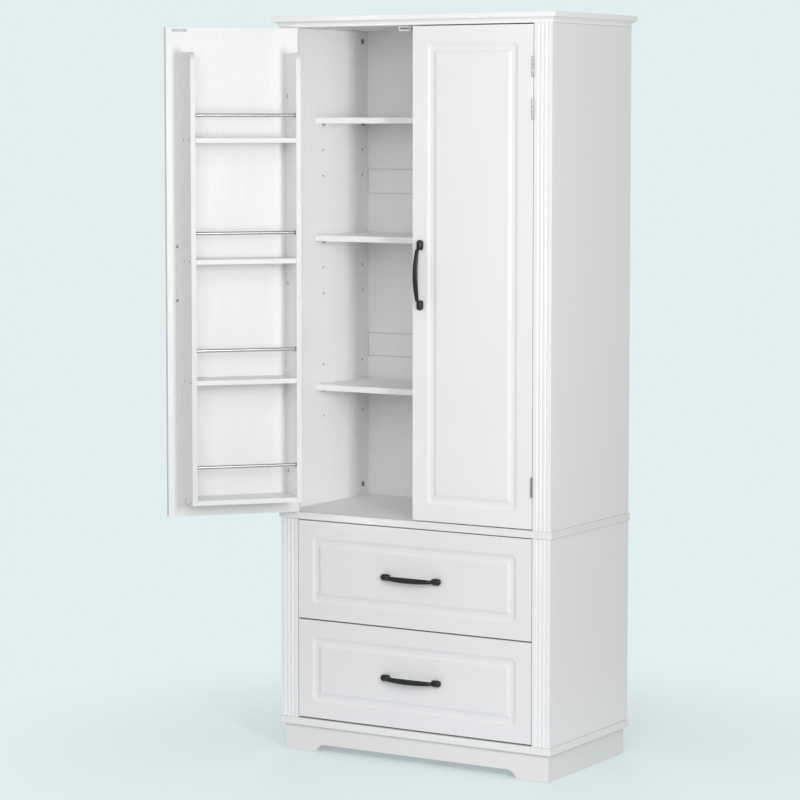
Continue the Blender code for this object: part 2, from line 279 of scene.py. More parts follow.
def whiteLacquer(name, light, shade):
    # Satin lacquer sprayed on routed fibreboard: an even white with a soft, slightly pebbled
    # sheen, and faint broad clouds in its white and its gloss.
    values = {
        "pebbleMm": 1.6,  # real orange peel is about 1 mm
        "pebbleDepthMm": 0.012,
        "cloudMm": 90,
        "roughness": (0.385, 0.415),
    }
    finish, tree, shader = startFinish(name, light, 0.4, ior=1.5)
    place = addNode(tree, "ShaderNodeTexCoord")
    pebbles = addNode(
        tree, "ShaderNodeTexNoise",
        values={"Scale": perMetre(values["pebbleMm"]), "Detail": 2.0},
        links={"Vector": place.outputs["Object"]},
    )
    clouds = addNode(
        tree, "ShaderNodeTexNoise",
        values={"Scale": perMetre(values["cloudMm"]), "Detail": 2.0},
        links={"Vector": place.outputs["Object"]},
    )
    colours = addNode(tree, "ShaderNodeValToRGB", links={"Fac": clouds.outputs["Fac"]})
    colours.color_ramp.elements[0].position = 0.35
    colours.color_ramp.elements[0].color = hexColour(shade)
    colours.color_ramp.elements[1].position = 0.6
    colours.color_ramp.elements[1].color = hexColour(light)
    low, high = values["roughness"]
    gloss = addNode(
        tree, "ShaderNodeMapRange",
        values={"From Min": 0.3, "From Max": 0.7, "To Min": low, "To Max": high},
        links={"Value": clouds.outputs["Fac"]},
    )
    relief = addNode(
        tree, "ShaderNodeBump",
        values={"Strength": 0.3, "Distance": values["pebbleDepthMm"] / 1000},
        links={"Height": pebbles.outputs["Fac"]},
    )
    tree.links.new(colours.outputs["Color"], shader.inputs["Base Color"])
    tree.links.new(gloss.outputs["Result"], shader.inputs["Roughness"])
    tree.links.new(relief.outputs["Normal"], shader.inputs["Normal"])
    return finish


def whiteHardboard():
    # Thin hardboard with a printed white face: flatter than the melamine, with the faint
    # mottle of pressed fibres showing through.
    values = {"light": "#f4f4f4", "shade": "#eeeeee", "fibreMm": 3.0, "roughness": 0.56}
    finish, tree, shader = startFinish("whiteHardboard", values["light"], values["roughness"], ior=1.48)
    place = addNode(tree, "ShaderNodeTexCoord")
    fibres = addNode(
        tree, "ShaderNodeTexNoise",
        values={"Scale": perMetre(values["fibreMm"]), "Detail": 6.0, "Roughness": 0.7, "Distortion": 0.6},
        links={"Vector": place.outputs["Object"]},
    )
    colours = addNode(tree, "ShaderNodeValToRGB", links={"Fac": fibres.outputs["Fac"]})
    colours.color_ramp.elements[0].position = 0.3
    colours.color_ramp.elements[0].color = hexColour(values["shade"])
    colours.color_ramp.elements[1].position = 0.55
    colours.color_ramp.elements[1].color = hexColour(values["light"])
    relief = addNode(
        tree, "ShaderNodeBump",
        values={"Strength": 0.25, "Distance": 0.00005},
        links={"Height": fibres.outputs["Fac"]},
    )
    tree.links.new(colours.outputs["Color"], shader.inputs["Base Color"])
    tree.links.new(relief.outputs["Normal"], shader.inputs["Normal"])
    return finish


def rawParticleboard():
    # Bare particleboard inside a drilled hole: brown chips of many sizes, quite matt.
    values = {"light": "#a98f70", "shade": "#6d563d", "chipMm": 1.4}
    finish, tree, shader = startFinish("rawParticleboard", values["shade"], 0.85, ior=1.45)
    place = addNode(tree, "ShaderNodeTexCoord")
    chips = addNode(
        tree, "ShaderNodeTexVoronoi",
        values={"Scale": perMetre(values["chipMm"])},
        links={"Vector": place.outputs["Object"]},
    )
    colours = addNode(tree, "ShaderNodeValToRGB", links={"Fac": chips.outputs["Distance"]})
    colours.color_ramp.elements[0].color = hexColour(values["light"])
    colours.color_ramp.elements[1].color = hexColour(values["shade"])
    tree.links.new(colours.outputs["Color"], shader.inputs["Base Color"])
    return finish


def blackPowderCoat():
    # Powder coat baked on cast zinc: near black, satin, with a fine even texture that
    # softens the highlights along the bow.
    values = {"colour": "#131314", "grainMm": 0.7, "roughness": (0.30, 0.42)}
    finish, tree, shader = startFinish("blackPowderCoat", values["colour"], 0.36, ior=1.5)
    place = addNode(tree, "ShaderNodeTexCoord")
    grains = addNode(
        tree, "ShaderNodeTexNoise",
        values={"Scale": perMetre(values["grainMm"]), "Detail": 2.0},
        links={"Vector": place.outputs["Object"]},
    )
    low, high = values["roughness"]
    gloss = addNode(
        tree, "ShaderNodeMapRange",
        values={"From Min": 0.3, "From Max": 0.7, "To Min": low, "To Max": high},
        links={"Value": grains.outputs["Fac"]},
    )
    relief = addNode(
        tree, "ShaderNodeBump",
        values={"Strength": 0.25, "Distance": 0.00002},
        links={"Height": grains.outputs["Fac"]},
    )
    tree.links.new(gloss.outputs["Result"], shader.inputs["Roughness"])
    tree.links.new(relief.outputs["Normal"], shader.inputs["Normal"])
    return finish


def drawnSteel(name, colour, roughness, lineMm, grainAxis):
    # Drawn or rolled steel under a thin bright plating: fine lines along the way it was
    # drawn, which stretch the highlights across them.
    finish, tree, shader = startFinish(name, colour, sum(roughness) / 2, metallic=1.0)
    stretch = [perMetre(lineMm)] * 3
    stretch["xyz".index(grainAxis)] = perMetre(60 * lineMm)
    place = addNode(tree, "ShaderNodeTexCoord")
    scaled = addNode(
        tree, "ShaderNodeMapping", values={"Scale": stretch}, links={"Vector": place.outputs["Object"]}
    )
    lines = addNode(
        tree, "ShaderNodeTexNoise",
        values={"Scale": 1.0, "Detail": 3.0},
        links={"Vector": scaled.outputs["Vector"]},
    )
    low, high = roughness
    gloss = addNode(
        tree, "ShaderNodeMapRange",
        values={"From Min": 0.3, "From Max": 0.7, "To Min": low, "To Max": high},
        links={"Value": lines.outputs["Fac"]},
    )
    relief = addNode(
        tree, "ShaderNodeBump",
        values={"Strength": 0.2, "Distance": 0.00001},
        links={"Height": lines.outputs["Fac"]},
    )
    tree.links.new(gloss.outputs["Result"], shader.inputs["Roughness"])
    tree.links.new(relief.outputs["Normal"], shader.inputs["Normal"])
    return finish


def castZinc():
    # Die-cast zinc of the cam fixings: dull grey with a blotchy skin.
    values = {"light": "#a5a7a8", "shade": "#85888a", "blotchMm": 2.5}
    finish, tree, shader = startFinish("castZinc", values["light"], 0.5, metallic=1.0)
    place = addNode(tree, "ShaderNodeTexCoord")
    blotches = addNode(
        tree, "ShaderNodeTexNoise",
        values={"Scale": perMetre(values["blotchMm"]), "Detail": 3.0},
        links={"Vector": place.outputs["Object"]},
    )
    colours = addNode(tree, "ShaderNodeValToRGB", links={"Fac": blotches.outputs["Fac"]})
    colours.color_ramp.elements[0].color = hexColour(values["shade"])
    colours.color_ramp.elements[1].color = hexColour(values["light"])
    tree.links.new(colours.outputs["Color"], shader.inputs["Base Color"])
    return finish


def mouldedPlastic(name, colour, roughness):
    # Injection-moulded ABS or nylon: even colour, satin, with the mould's fine spark texture.
    finish, tree, shader = startFinish(name, colour, roughness, ior=1.53)
    place = addNode(tree, "ShaderNodeTexCoord")
    sparks = addNode(
        tree, "ShaderNodeTexNoise",
        values={"Scale": perMetre(0.6), "Detail": 2.0},
        links={"Vector": place.outputs["Object"]},
    )
    gloss = addNode(
        tree, "ShaderNodeMapRange",
        values={"From Min": 0.3, "From Max": 0.7, "To Min": roughness - 0.05, "To Max": roughness + 0.05},
        links={"Value": sparks.outputs["Fac"]},
    )
    relief = addNode(
        tree, "ShaderNodeBump",
        values={"Strength": 0.25, "Distance": 0.00002},
        links={"Height": sparks.outputs["Fac"]},
    )
    tree.links.new(gloss.outputs["Result"], shader.inputs["Roughness"])
    tree.links.new(relief.outputs["Normal"], shader.inputs["Normal"])
    return finish


# The real thing is one white, or two. Each piece here is set a little lighter or darker to even
# out the light that falls on it in this scene, so the hex values below are not measured colours.
# For use under other lights, give them all the white of whiteMelamineOutside.
melamineOutside = whiteMelamine("whiteMelamineOutside", "z", "#eae9ea", "#e8e7e8")
melamineUpright = whiteMelamine("brightMelamineUpright", "z", "#fafafa", "#f5f5f5")
melamineAcross = whiteMelamine("brightMelamineAcross", "x", "#fafafa", "#f5f5f5")
melamineDeep = whiteMelamine("brightMelamineDeep", "y", "#fafafa", "#f5f5f5")
melamineDoor = whiteMelamine("whiteMelamineDoor", "z", "#e6e6e6", "#e3e3e3")
melamineRack = whiteMelamine("whiteMelamineRack", "x", "#e2e2e2", "#dedede")
melamineSide = whiteMelamine("whiteMelamineRackSide", "z", "#f2f2f2", "#eeeeee")
edgeBand = mouldedPlastic("whiteEdgeBand", "#dadada", 0.4)
melamineLedge = whiteMelamine("whiteMelamineLedge", "x", "#e8e6e6", "#e5e3e3")
lacquer = whiteLacquer("whiteLacquer", "#eae9ea", "#e8e8e9")
plinthLacquer = whiteLacquer("whiteLacquerPlinth", "#e2dede", "#e0dcdc")
corniceLacquer = whiteLacquer("whiteLacquerCornice", "#f1f0f1", "#efeff0")
drawerLacquer = whiteLacquer("whiteLacquerDrawer", "#e7e4e6", "#e5e3e5")
hardboard = whiteHardboard()
chipboard = rawParticleboard()
powderCoat = blackPowderCoat()
nickelUpright = drawnSteel("nickelPlatedSteel", "#a3a3a1", (0.2, 0.3), 0.25, "z")
nickelAcross = drawnSteel("drawnSteelRod", "#b4b4b2", (0.24, 0.34), 0.3, "x")
zincRail = drawnSteel("zincPlatedRail", "#b3b6b8", (0.3, 0.42), 0.5, "y")
zincPlate = drawnSteel("zincPlatedPlate", "#96999c", (0.42, 0.52), 0.4, "x")
zincCam = castZinc()
greyAbs = mouldedPlastic("lightGreyAbs", "#d4d5d7", 0.45)
darkNylon = mouldedPlastic("darkGreyNylon", "#4a4b4d", 0.5)
print("materials made")


# Cornice, ledges and plinth

bodyLow, bodyHigh = nodeBox("upper_side_left")
bodyHalfWidth = -bodyLow.x
backY = bodyHigh.y
frontY = nodeBox("upper_pilaster_left")[0].y
ease = 0.0008  # what a laminate trimmer takes off a board's edge


def bodyRing(overhang, z, cornerRadius=0.001):
    # the cabinet in plan, pushed out at the front and the sides, its front corners rounded
    x = bodyHalfWidth + overhang
    y = frontY - overhang
    steps = 3
    ring = []
    for sign, start in ((-1, 180), (1, 270)):
        for step in range(steps + 1):
            angle = radians(start + 90 * step / steps)
            ringX = sign * (x - cornerRadius) + cornerRadius * cos(angle)
            ringY = y + cornerRadius + cornerRadius * sin(angle)
            ring.append((ringX, ringY, z))
    return ring + [(x, backY, z), (-x, backY, z)]


corniceValues = {
    "band": 0.0125,  # height of the square band
    "foot": 0.0015,  # step where the hollow leaves the body
    "lip": 0.0008,  # height of that step
    "coveSteps": 12,
    "bandRadius": 0.0012,
}


def makeCornice():
    values = corniceValues
    low, high = nodeBox("top_board")
    overhang = high.x - bodyHalfWidth
    bandLow = high.z - values["band"]
    radius = values["bandRadius"]
    foot, lip = values["foot"], values["lip"]
    rings = [bodyRing(0.0, low.z), bodyRing(foot, low.z), bodyRing(foot, low.z + lip)]
    reach = overhang - radius - foot
    rise = bandLow - low.z - lip
    for step in range(1, values["coveSteps"] + 1):
        angle = pi / 2 * step / values["coveSteps"]
        rings.append(bodyRing(foot + reach * (1 - cos(angle)), low.z + lip + rise * sin(angle)))
    for centre, start in ((bandLow + radius, -90), (high.z - radius, 0)):
        for step in range(4):
            angle = radians(start + 90 * step / 3)
            rings.append(bodyRing(overhang - radius + radius * cos(angle), centre + radius * sin(angle)))
    shape = bmesh.new()
    addRings(shape, rings)
    addPiece("top_board_cornice", shape, [corniceLacquer], "cabinet", ["top_board"])


ledgeValues = {
    "radius": 0.0018,
    "cornerRadius": 0.002,
    "inset": 0.012,  # from the body's outside to the edge of the board's inner face
}


def makeLedges():
    values = ledgeValues
    radius = values["radius"]
    corner = values["cornerRadius"]
    for node in ("middle_board", "base_board"):
        low, high = nodeBox(node)
        overhang = high.x - bodyHalfWidth
        rings = []
        for centre, start in ((low.z + radius, -90), (high.z - radius, 0)):
            for step in range(5):
                angle = radians(start + 90 * step / 4)
                out = overhang - radius + radius * cos(angle)
                rings.append(bodyRing(out, centre + radius * sin(angle), corner))
        rings.append(bodyRing(-values["inset"], high.z, corner))
        shape = bmesh.new()
        faces = addRings(shape, rings)
        faces[-1].material_index = 1  # the floor of the cupboard, between its side panels
        addPiece(node + "_nosed", shape, [melamineLedge, melamineAcross], "cabinet", [node])


plinthValues = {
    "footInner": 0.290,  # half the span between the bracket feet, at the floor
    "arcWidth": 0.028,
    "archHeight": 0.020,
    "arcSteps": 14,
    "capHeight": 0.046,
    "capRadius": 0.0032,
}


def makePlinth():
    values = plinthValues
    low, high = nodeBox("plinth_front")
    width, height = values["arcWidth"], values["archHeight"]
    radius = (width * width + height * height) / (2 * height)
    arch = []
    for step in range(values["arcSteps"] + 1):
        x = width * (1 - step / values["arcSteps"])
        arch.append((values["footInner"] - width + x, height - (radius - sqrt(radius * radius - x * x))))
    outline = [(high.x, high.z), (high.x, 0.0)] + arch
    outline += [(-x, z) for x, z in reversed(arch)] + [(low.x, 0.0), (low.x, high.z)]
    shape = bmesh.new()
    addSlab(shape, outline, "y", low.y, high.y, 0.001)
    addPiece("plinth_front_board", shape, [plinthLacquer], "cabinet", ["plinth_front"])
    for word in sideSign:
        boardLow, boardHigh = nodeBox("plinth_" + word)
        shape = bmesh.new()
        addBoard(shape, boardLow, boardHigh, 0.001)
        name = "plinth_" + word
        addPiece(name + "_board", shape, [plinthLacquer], "cabinet", [name])
    frame["nodes"]["plinth_centre_rail"].data.materials[0] = melamineDeep
    shape = bmesh.new()
    cap = values["capRadius"]
    profile = ((-0.002, cap * 0.7), (0, cap), (0.0003, cap), (0.0007, cap * 0.75), (0.0008, cap * 0.2))
    addTurned(shape, profile, (0, low.y, values["capHeight"]), (0, -1, 0))
    addPiece("plinth_screw_cap", shape, [greyAbs], "cabinet")


makeCornice()
makeLedges()
makePlinth()
print("cornice, ledges and plinth made")


# Pilasters

fluteValues = {
    "pitch": 0.011,
    "halfWidth": 0.003,
    "depth": 0.0020,
    "steps": 8,
    "power": 1.5,  # 1 is a plain V, 2 a round hollow
    "edgeRadius": 0.0009,
}


def fluteOutline(inner, outer, front, back):
    # a pilaster in plan from its inner to its outer edge, with three flutes
    values = fluteValues
    toward = 1 if outer > inner else -1
    middle = (inner + outer) / 2
    radius = values["edgeRadius"]
    outline = [(inner, back)]
    for step in range(4):
        angle = pi / 2 * step / 3
        outline.append((inner + toward * radius * (1 - cos(angle)), front + radius * (1 - sin(angle))))
    for index in (-1, 0, 1):
        centre = middle + toward * index * values["pitch"]
        for step in range(values["steps"] + 1):
            t = 2 * step / values["steps"] - 1
            depth = values["depth"] * (1 - abs(t) ** values["power"])
            outline.append((centre + toward * values["halfWidth"] * t, front + depth))
    for step in range(4):
        angle = pi / 2 * step / 3
        outline.append((outer - toward * radius * (1 - sin(angle)), front + radius * (1 - cos(angle))))
    outline.append((outer, back))
    return outline


def makePilasters():
    for level in ("upper", "lower"):
        for word, sign in sideSign.items():
            node = level + "_pilaster_" + word
            low, high = nodeBox(node)
            inner, outer = (high.x, low.x) if sign < 0 else (low.x, high.x)
            shape = bmesh.new()
            addSlab(shape, fluteOutline(inner, outer, low.y, high.y), "z", low.z, high.z, 0)
            addPiece(node + "_fluted", shape, [lacquer], "cabinet", [node], 30)


# Side panels with their pin holes, battens, backs and rails

grooveValues = {"depth": 0.005, "clearance": 0.0003}
pinValues = {
    "rows": (0.1735, 0.361),  # behind the front
    "heights": (0.8333, 0.8988, 0.9642, 1.1465, 1.2127, 1.277, 1.4450, 1.5103, 1.5746),
    "radius": 0.0025,
    "holeDepth": 0.009,
    "used": (0.8988, 1.277, 1.5746),
    "reach": 0.0075,
    "collarRadius": 0.0042,
    "collar": 0.0012,
}
camValues = {
    "behindFront": (0.045, 0.362),
    "heights": (0.6375, 1.788),
    "radius": 0.0075,
    "proud": 0.0004,
}


def sideOutline(sign, low, high):
    backLow, backHigh = nodeBox("lower_back_panel")
    outer = sign * bodyHalfWidth
    inner = sign * (backHigh.x - grooveValues["depth"])
    groove = sign * (backHigh.x + grooveValues["clearance"])
    nearY = backLow.y - grooveValues["clearance"]
    farY = backHigh.y + grooveValues["clearance"]
    return [
        (outer, low.y), (outer, high.y), (inner, high.y), (inner, farY),
        (groove, farY), (groove, nearY), (inner, nearY), (inner, low.y),
    ]


def makeSides():
    innerX = nodeBox("lower_back_panel")[1].x - grooveValues["depth"]
    for word, sign in sideSign.items():
        for level in ("upper", "lower"):
            node = level + "_side_" + word
            low, high = nodeBox(node)
            shape = bmesh.new()
            addSlab(shape, sideOutline(sign, low, high), "z", low.z, high.z, 0.0005)
            for face in shape.faces:
                if abs(face.calc_center_median().x) < innerX + 0.001:
                    face.material_index = 2
            finishes = [melamineOutside, chipboard, melamineUpright]
            panel = addPiece(node + "_panel", shape, finishes, "cabinet", [node])
            if level == "upper":
                drillPinHoles(panel, sign, innerX)
                makeCams(word, sign, innerX)
            else:
                makeBattens(word, sign, innerX)


def drillPinHoles(panel, sign, innerX):
    values = pinValues
    shape = bmesh.new()
    for row in values["rows"]:
        for height in values["heights"]:
            foot = (sign * (innerX - 0.004), frontY + row, height)
            profile = ((0, values["radius"]), (0.004 + values["holeDepth"], values["radius"]))
            addTurned(shape, profile, foot, (sign, 0, 0), sides=16)
    bmesh.ops.recalc_face_normals(shape, faces=shape.faces)
    mesh = bpy.data.meshes.new(panel.name + "_drill")
    shape.to_mesh(mesh)
    shape.free()
    mesh.materials.append(chipboard)
    drill = bpy.data.objects.new(panel.name + "_drill", mesh)
    bpy.context.scene.collection.objects.link(drill)
    drill.hide_render = True
    drill.display_type = "WIRE"
    holes = panel.modifiers.new("pinHoles", "BOOLEAN")
    holes.operation = "DIFFERENCE"
    holes.solver = "EXACT"
    holes.material_mode = "TRANSFER"
    holes.object = drill
    panel.modifiers.move(1, 0)
    bakeModifiers(panel)
    bpy.data.objects.remove(drill)


def bakeModifiers(piece):
    # the modifiers' result becomes the piece's own mesh
    graph = bpy.context.evaluated_depsgraph_get()
    made = bpy.data.meshes.new_from_object(piece.evaluated_get(graph))
    piece.modifiers.clear()
    piece.data = made


def makeCams(word, sign, innerX):
    values = camValues
    count = 0
    for behind in values["behindFront"]:
        for height in values["heights"]:
            count += 1
            shape = bmesh.new()
            foot = (sign * (innerX + 0.002), frontY + behind, height)
            radius = values["radius"]
            face = 0.002 + values["proud"]
            profile = (
                (0, radius), (face - 0.0003, radius), (face, radius - 0.0004),
                (face, radius * 0.62), (face - 0.0003, radius * 0.58), (face - 0.0003, radius * 0.1),
            )
            addTurned(shape, profile, foot, (-sign, 0, 0), sides=32)
            addScrew(
                shape, (sign * (innerX - values["proud"] + 0.0002), frontY + behind, height),
                (-sign, 0, 0), radius * 0.5, 0.0004,
            )
            addPiece(f"upper_side_{word}_cam_{count}", shape, [zincCam], "cabinet")


def makeBattens(word, sign, innerX):
    margin = 0.015
    sideLow = nodeBox("lower_side_" + word)[0]
    for number in (1, 2):
        runnerLow, runnerHigh = nodeBox(f"drawer_{number}_runner_{word}")
        reach = max(abs(runnerLow.x), abs(runnerHigh.x)) + 0.0003
        xs = sorted((sign * (innerX + 0.0001), sign * reach))
        low = (xs[0], sideLow.y + 0.003, runnerLow.z - margin)
        high = (xs[1], nodeBox("lower_back_panel")[0].y - 0.003, runnerHigh.z + margin)
        shape = bmesh.new()
        addBoard(shape, low, high, ease)
        addPiece(f"lower_side_{word}_batten_{number}", shape, [melamineDeep], "cabinet")


backValues = {
    "seam": 0.0007,  # dark line above and below a rail
    "tongue": 0.004,  # how far the rail's rear part reaches behind the panels
    "behind": 0.0002,  # clearance between that part and the panels
    "sideGap": 0.001,
}


def makeBacks():
    values = backValues
    panels = ["lower_back_panel"] + ["upper_back_panel_" + word for word in ("low", "middle", "high")]
    for node in panels:
        low, high = nodeBox(node)
        shape = bmesh.new()
        addBoard(shape, low, high, 0.0008, 2)
        addPiece(node + "_board", shape, [hardboard], "cabinet", [node])
    for node in ("back_rail_low", "back_rail_high"):
        low, high = nodeBox(node)
        shape = bmesh.new()
        seam, tongue = values["seam"], values["tongue"]
        behind = nodeBox("lower_back_panel")[1].y + values["behind"]
        # the front board ends inside the tongue board, so no two faces lie on each other
        faceHigh = (high.x - values["sideGap"], (behind + high.y) / 2, high.z - seam)
        addBoard(shape, low + Vector((0, 0, seam)), faceHigh, ease)
        addBoard(shape, (low.x, behind, low.z - tongue), (high.x, high.y, high.z + tongue), ease)
        addPiece(node + "_board", shape, [hardboard], "cabinet", [node])


def makeShelves():
    values = pinValues
    for index in (1, 2, 3):
        node = f"shelf_{index}"
        low, high = nodeBox(node)
        shape = bmesh.new()
        addBoard(shape, low, high, ease)
        addPiece(node + "_board", shape, [melamineAcross], "cabinet", [node])
        innerX = nodeBox("lower_back_panel")[1].x - grooveValues["depth"]
        for word, sign in sideSign.items():
            for place, row in zip(("front", "rear"), values["rows"]):
                name = f"{node}_pin_{word}_{place}"
                makeShelfPin(name, sign, innerX, frontY + row, values["used"][index - 1])


def makeShelfPin(name, sign, innerX, y, height):
    # a turned pin with a collar against the side panel; the shelf lies on its shank
    values = pinValues
    radius = values["radius"] - 0.0002
    inside = values["holeDepth"] - 0.001
    profile = [(0, radius * 0.7), (0.0008, radius), (inside, radius), (inside, values["collarRadius"])]
    profile += [(inside + values["collar"], values["collarRadius"]), (inside + values["collar"], radius)]
    tip = inside + values["reach"]
    profile += [(tip - 0.0008, radius), (tip, radius * 0.6)]
    shape = bmesh.new()
    addTurned(shape, profile, (sign * (innerX + inside), y, height), (-sign, 0, 0), sides=20)
    addPiece(name, shape, [nickelAcross], "cabinet")


makePilasters()
makeSides()
makeBacks()
makeShelves()
print("pilasters, panels and shelves made")


# Doors and drawer fronts with their routed moulding

routingValues = {
    "outer": 0.040,  # from the front's edge to where the moulding starts
    "slope": 0.011,
    "floor": 0.006,
    "depth": 0.0034,
    "steps": 9,
    "cornerSteps": 8,
    "cutterLine": 0.054,  # the cutter's middle: rings outside it have round corners
    "sharpRadius": 0.0006,
}


def routedRing(low, high, inset, y, radius):
    ring = []
    corners = ((high.x, low.z, -1, 1, -90), (high.x, high.z, -1, -1, 0))
    corners += ((low.x, high.z, 1, -1, 90), (low.x, low.z, 1, 1, 180))
    for x, z, inX, inZ, start in corners:
        centreX = x + inX * (inset + radius)
        centreZ = z + inZ * (inset + radius)
        for step in range(routingValues["cornerSteps"] + 1):
            angle = radians(start + 90 * step / routingValues["cornerSteps"])
            ring.append((centreX + radius * cos(angle), y, centreZ + radius * sin(angle)))
    return ring


def makeRoutedFront(node, name, body, outside):
    values = routingValues
    low, high = nodeBox(node)
    sharp = values["sharpRadius"]
    rings = []
    for step in range(4):  # the eased edge of the inner face
        angle = pi / 2 * step / 3
        rings.append(routedRing(low, high, ease * (1 - sin(angle)), high.y - ease * (1 - cos(angle)), sharp))
    for step in range(4):  # the eased edge of the outer face
        angle = pi / 2 * step / 3
        rings.append(routedRing(low, high, ease * (1 - cos(angle)), low.y + ease * (1 - sin(angle)), sharp))
    def cornerRadius(inset):
        return max(sharp, values["cutterLine"] - inset)
    rings.append(routedRing(low, high, values["outer"] - 0.002, low.y, cornerRadius(values["outer"] - 0.002)))
    riseStart = values["outer"] + values["slope"] + values["floor"]
    for start, falls in ((values["outer"], True), (riseStart, False)):
        for step in range(values["steps"] + 1):
            share = step / values["steps"]
            depth = values["depth"] * (1 - cos(pi * share)) / 2
            if not falls:
                depth = values["depth"] - depth
            inset = start + values["slope"] * share
            rings.append(routedRing(low, high, inset, low.y + depth, cornerRadius(inset)))
    rings.append(routedRing(low, high, riseStart + values["slope"] + 0.002, low.y, sharp))
    shape = bmesh.new()
    faces = addRings(shape, rings)
    inner = [face for face in faces if min(vertex.co.y for vertex in face.verts) > high.y - ease / 2]
    for face in inner:
        face.material_index = 1
    return addPiece(name, shape, [outside, melamineDoor], body, [node])


for word in sideSign:
    makeRoutedFront(word + "_door", word + "_door_panel", word + "_door", lacquer)
for number in (1, 2):
    drawer = f"drawer_{number}"
    makeRoutedFront(drawer + "_front", drawer + "_front_panel", drawer, drawerLacquer)


# Bow handles

handleValues = {
    "footLength": 0.0245,
    "footRadius": 0.0085,
    "footCentre": 0.0072,  # the foot's middle above the face
    "shoulderShare": 0.24,
    "grooveAt": 0.17,
    "grooveHalfWidth": 0.035,
    "grooveDepth": 0.0007,
    "endShare": 0.32,
    "gripHalfWidth": 0.0070,
    "gripHalfDepth": 0.0033,
    "neckHalfWidth": 0.0044,
    "neckHalfDepth": 0.0036,
    "swellPower": 0.6,
    "reach": 0.0292,
    "sag": 2.3,  # the bow's middle is a shallow arc: its height falls by sag times distance squared
    "bendFromEnd": 0.0285,
    "bendRadius": 0.0095,
    "bendEnd": 82,
    "arcSteps": 24,
    "bendSteps": 10,
    "sides": 28,
    "gap": 0.0003,
}


def footRadius(along):
    # the foot's radius from its shoulder at 0 to its rounded end at 1
    values = handleValues
    shoulder = min(1.0, along / values["shoulderShare"])
    radius = values["footRadius"] * (0.58 + 0.42 * sqrt(shoulder * (2 - shoulder)))
    groove = abs(along - values["grooveAt"]) / values["grooveHalfWidth"]
    if groove < 1:
        radius -= values["grooveDepth"] * (1 - groove * groove)
    end = min(1.0, (1 - along) / values["endShare"])
    return max(radius * sqrt(end * (2 - end)), 0.0008)


def bowPath(halfLength):
    # half of the bow from its middle: (distance, height, lean, half width, half depth)
    values = handleValues
    bendStart = halfLength - values["bendFromEnd"]
    path = []
    for step in range(values["arcSteps"] + 1):
        distance = bendStart * step / values["arcSteps"]
        lean = 2 * values["sag"] * distance
        path.append((distance, values["reach"] - values["sag"] * distance * distance, lean))
    first = path[-1][2]
    turn = (radians(values["bendEnd"]) - first) / values["bendSteps"]
    for step in range(values["bendSteps"]):
        distance, height, lean = path[-1]
        middle = lean + turn / 2
        travel = values["bendRadius"] * turn
        path.append((distance + travel * cos(middle), height - travel * sin(middle), lean + turn))
    distance, height, lean = path[-1]
    path.append((distance + 0.0006, height - 0.005, lean))
    widest = path[-1][0]
    shaped = []
    for distance, height, lean in path:
        swell = max(0.0, cos(pi / 2 * distance / widest)) ** values["swellPower"]
        halfWidth = values["neckHalfWidth"] + (values["gripHalfWidth"] - values["neckHalfWidth"]) * swell
        halfDepth = values["neckHalfDepth"] + (values["gripHalfDepth"] - values["neckHalfDepth"]) * swell
        shaped.append((distance, height, lean, halfWidth, halfDepth))
    return shaped


def makeHandle(node, name, body):
    values = handleValues
    low, high = nodeBox(node)
    middle = (low + high) / 2
    upright = high.z - low.z > high.x - low.x
    halfLength = max(high.z - low.z, high.x - low.x) / 2
    faceY = high.y + values["gap"]

    def place(distance, across, height):
        # height is above the face, and nothing goes below it
        y = faceY - max(values["gap"], height)
        if upright:
            return (middle.x + across, y, middle.z + distance)
        return (middle.x + distance, y, middle.z + across)

    angles = [2 * pi * index / values["sides"] for index in range(values["sides"])]
    shape = bmesh.new()
    half = bowPath(halfLength)
    path = [(-d, h, -lean, w, t) for d, h, lean, w, t in reversed(half)] + half[1:]
    rings = []
    for distance, height, lean, halfWidth, halfDepth in path:
        ring = []
        for angle in angles:
            out = halfDepth * sin(angle)
            ring.append(place(distance + out * sin(lean), halfWidth * cos(angle), height + out * cos(lean)))
        rings.append(ring)
    addRings(shape, rings)
    shares = [0, 0.012, 0.03, 0.06, 0.09, 0.12, 0.14, 0.155, 0.17, 0.185, 0.2, 0.24, 0.35, 0.5, 0.65]
    shares += [1 - values["endShare"] * (1 - sin(pi / 2 * step / 10)) for step in range(11)]
    for end in (-1, 1):
        rings = []
        for share in shares:
            radius = footRadius(share)
            distance = end * (halfLength - values["footLength"] * (1 - share))
            rings.append([
                place(distance, radius * cos(angle), values["footCentre"] + radius * sin(angle))
                for angle in angles
            ])
        addRings(shape, rings)
    addPiece(name, shape, [powderCoat], body, [node], 50)


def makeHandleScrews(word):
    # the two screws that hold a door's handle, seen on the door's inner face
    low, high = nodeBox(word + "_door")
    handleLow, handleHigh = nodeBox(word + "_door_handle")
    shape = bmesh.new()
    for side in (-1, 1):
        height = (handleLow.z + handleHigh.z) / 2 + side * 0.066
        place = ((handleLow.x + handleHigh.x) / 2, high.y, height)
        addScrew(shape, place, (0, 1, 0), 0.0038, 0.0014)
    addPiece(word + "_door_handle_screws", shape, [nickelUpright], word + "_door")


for word in sideSign:
    makeHandle(word + "_door_handle", word + "_door_bow_handle", word + "_door")
    makeHandleScrews(word)
for number in (1, 2):
    makeHandle(f"drawer_{number}_handle", f"drawer_{number}_bow_handle", f"drawer_{number}")
print("doors, drawer fronts and handles made")


# Hinges: a frame leaf with three knuckles and the pin, a door leaf with two knuckles

hingeValues = {
    "barrelRadius": 0.0025,
    "knuckles": 5,
    "knuckleGap": 0.0009,
    "tipRadius": 0.0020,
    "doorLeafDepth": 0.0155,  # behind the door's outer face
    "leafGap": 0.00005,
    "screwHeights": (-0.0165, 0.0, 0.0165),
    "screwRadius": 0.0028,
}


